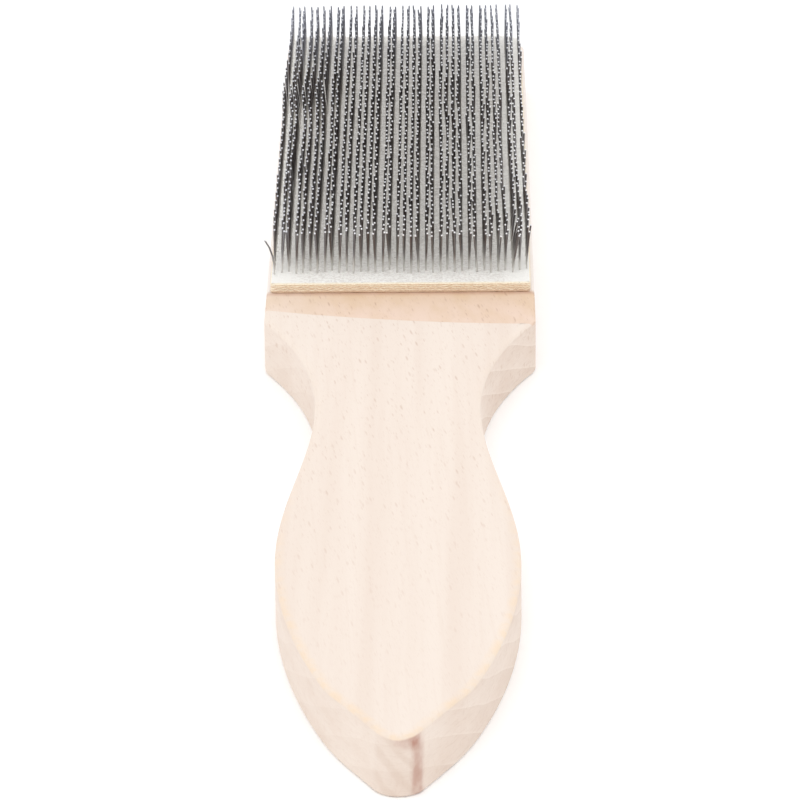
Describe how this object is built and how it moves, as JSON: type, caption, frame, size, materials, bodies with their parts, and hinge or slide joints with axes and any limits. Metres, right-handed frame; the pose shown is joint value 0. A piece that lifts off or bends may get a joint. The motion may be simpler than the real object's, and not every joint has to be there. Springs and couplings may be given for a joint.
{
  "type": "wire card brush",
  "caption": "Flat wooden hand brush with a glued strip of fine steel wire card clothing, used to card out hair and clean brushes.",
  "frame": {"origin": "centre of the footprint, on the flat wooden back", "axes": "+Y from the grip's nose to the far end of the head, +Z out of the wire side, +X across the width"},
  "size_m": [0.0405, 0.266, 0.0158],
  "materials": {
    "beech": "pale sanded beech, unvarnished",
    "glue": "dried brown glue",
    "canvas": "tan rubber-cemented canvas plies",
    "face_felt": "cream-white felted face",
    "steel_wire": "hard-drawn steel wire with bright cut ends"
  },
  "bodies": {
    "root": {"beech_handle": "beech", "glue_bed": "glue", "backing_ply": "canvas", "lower_core_ply": "canvas", "upper_core_ply": "canvas", "face_ply": "face_felt", "tooth_column_01": "steel_wire", "tooth_column_02": "steel_wire", "tooth_column_03": "steel_wire", "tooth_column_04": "steel_wire", "tooth_column_05": "steel_wire", "tooth_column_06": "steel_wire", "tooth_column_07": "steel_wire", "tooth_column_08": "steel_wire", "tooth_column_09": "steel_wire", "tooth_column_10": "steel_wire", "tooth_column_11": "steel_wire", "tooth_column_12": "steel_wire", "tooth_column_13": "steel_wire", "tooth_column_14": "steel_wire", "tooth_column_15": "steel_wire", "tooth_column_16": "steel_wire", "tooth_column_17": "steel_wire", "tooth_column_18": "steel_wire", "tooth_column_19": "steel_wire", "tooth_column_20": "steel_wire", "tooth_column_21": "steel_wire", "tooth_column_22": "steel_wire", "tooth_column_23": "steel_wire", "tooth_column_24": "steel_wire", "tooth_column_25": "steel_wire", "tooth_column_26": "steel_wire", "tooth_column_27": "steel_wire", "tooth_column_28": "steel_wire", "tooth_column_29": "steel_wire", "tooth_column_30": "steel_wire", "tooth_column_31": "steel_wire", "tooth_column_32": "steel_wire", "tooth_column_33": "steel_wire", "tooth_column_34": "steel_wire", "tooth_column_35": "steel_wire", "tooth_column_36": "steel_wire", "stray_tooth": "steel_wire"}
  },
  "joints": []
}
